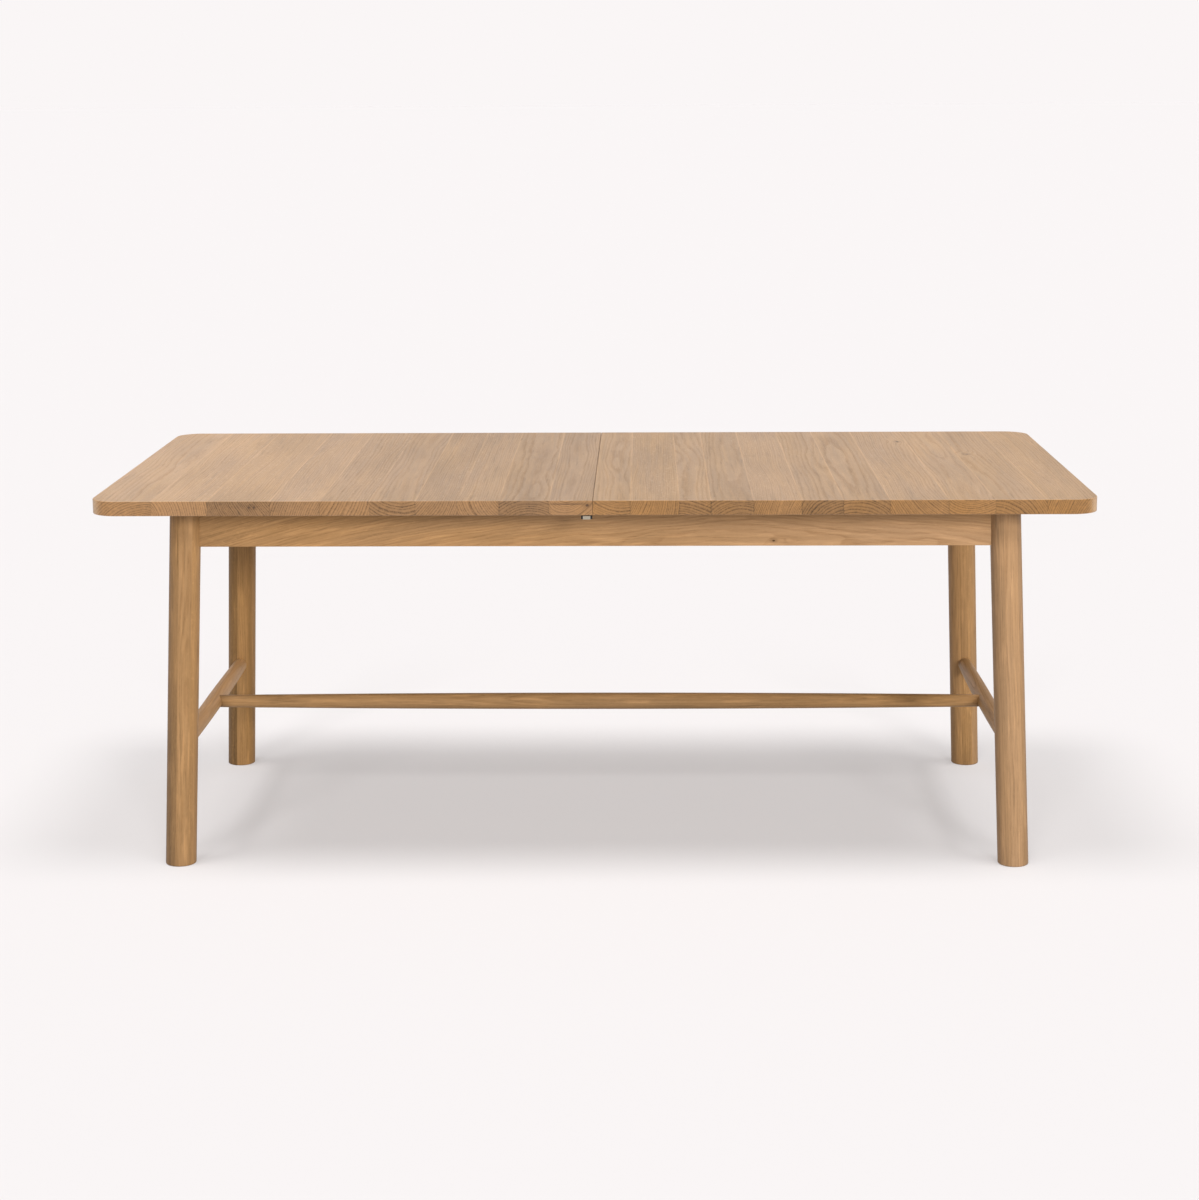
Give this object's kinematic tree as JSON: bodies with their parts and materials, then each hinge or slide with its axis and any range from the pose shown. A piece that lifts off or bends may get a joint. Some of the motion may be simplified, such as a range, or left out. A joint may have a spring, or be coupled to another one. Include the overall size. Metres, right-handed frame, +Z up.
{
  "type": "extendable dining table",
  "caption": "Rectangular extendable dining table: split top with rounded corners slides open on a frame with splayed round legs and H stretchers, loose leaf stored inside.",
  "frame": {"origin": "on the floor, under the middle of the closed top", "axes": "+X along the table's length towards its right half, +Y from front to rear, +Z up"},
  "size_m": [1.9, 0.95, 0.74],
  "materials": {
    "oak_top": "light natural oak, edge-glued staves, matt oil",
    "oak_frame": "warm natural oak, laminated, matt oil",
    "beech": "plain planed hardwood, waxed",
    "cast_metal": "die cast, light grey, satin",
    "black_plastic": "moulded, fine texture",
    "black_steel": "black powder coat",
    "black_screw": "black oxide",
    "zinc_steel": "zinc plated",
    "felt": "pressed felt",
    "nylon": "smooth slippery strip",
    "rubber": "moulded black rubber"
  },
  "bodies": {
    "frame": {"apron_front": "oak_frame", "apron_left": "oak_frame", "apron_rear": "oak_frame", "apron_right": "oak_frame", "bearer_felts": "felt", "bolt_nuts": "zinc_steel", "bolt_washers": "zinc_steel", "corner_block_front_left": "beech", "corner_block_front_right": "beech", "corner_block_rear_left": "beech", "corner_block_rear_right": "beech", "glide_strips": "nylon", "guide_rail_front": "beech", "guide_rail_rear": "beech", "guide_rail_screws": "zinc_steel", "hanger_bolts": "zinc_steel", "leaf_bearer_left": "beech", "leaf_bearer_right": "beech", "leaf_guides": "beech", "leg_front_left": "oak_frame", "leg_front_right": "oak_frame", "leg_rear_left": "oak_frame", "leg_rear_right": "oak_frame", "stop_pads": "rubber", "stretcher_left": "oak_frame", "stretcher_long": "oak_frame", "stretcher_right": "oak_frame"},
    "top_left": {"runner_left_front": "beech", "runner_left_rear": "beech", "runner_screws_left": "zinc_steel", "seam_catch_pivots": "zinc_steel", "seam_catch_plate_front": "black_steel", "seam_catch_plate_rear": "black_steel", "seam_catch_screws": "black_screw", "seam_dowels": "beech", "top_left": "oak_top"},
    "top_right": {"runner_right_front": "beech", "runner_right_rear": "beech", "runner_screws_right": "zinc_steel", "seam_keeper_screws": "black_screw", "seam_keepers": "black_steel", "top_right": "oak_top"},
    "leaf": {"extension_leaf": "oak_top", "leaf_catch_pivots": "zinc_steel", "leaf_catch_plate_front": "black_steel", "leaf_catch_plate_rear": "black_steel", "leaf_catch_screws": "black_screw", "leaf_dowels": "beech", "leaf_keeper_screws": "black_screw", "leaf_keepers": "black_steel"},
    "seam_catch_lever_front": {"seam_catch_lever_front": "cast_metal", "seam_catch_grips_front": "black_plastic"},
    "seam_catch_lever_rear": {"seam_catch_lever_rear": "cast_metal", "seam_catch_grips_rear": "black_plastic"},
    "leaf_catch_lever_front": {"leaf_catch_lever_front": "cast_metal", "leaf_catch_grips_front": "black_plastic"},
    "leaf_catch_lever_rear": {"leaf_catch_lever_rear": "cast_metal", "leaf_catch_grips_rear": "black_plastic"}
  },
  "joints": [
    {"name": "top_left_slide", "type": "slide", "parent": "frame", "child": "top_left", "axis": [-1, 0, 0], "range_m": [0, 0.25]},
    {"name": "top_right_slide", "type": "slide", "parent": "frame", "child": "top_right", "axis": [1, 0, 0], "range_m": [0, 0.25]},
    {"name": "leaf_slide", "type": "slide", "parent": "frame", "child": "leaf", "axis": [1, 0, 0], "range_m": [-0.225, 0.225]},
    {"name": "seam_catch_front_turn", "type": "hinge", "parent": "top_left", "child": "seam_catch_lever_front", "pos_m": [-0.0113, -0.438, 0.7045], "axis": [0, 0, 1], "range_deg": [0, 90]},
    {"name": "seam_catch_rear_turn", "type": "hinge", "parent": "top_left", "child": "seam_catch_lever_rear", "pos_m": [-0.0113, 0.438, 0.7045], "axis": [0, 0, -1], "range_deg": [0, 90]},
    {"name": "leaf_catch_front_turn", "type": "hinge", "parent": "leaf", "child": "leaf_catch_lever_front", "pos_m": [-0.438, 0.239, 0.6872], "axis": [0, 0, -1], "range_deg": [0, 90]},
    {"name": "leaf_catch_rear_turn", "type": "hinge", "parent": "leaf", "child": "leaf_catch_lever_rear", "pos_m": [0.438, 0.239, 0.6872], "axis": [0, 0, 1], "range_deg": [0, 90]}
  ]
}
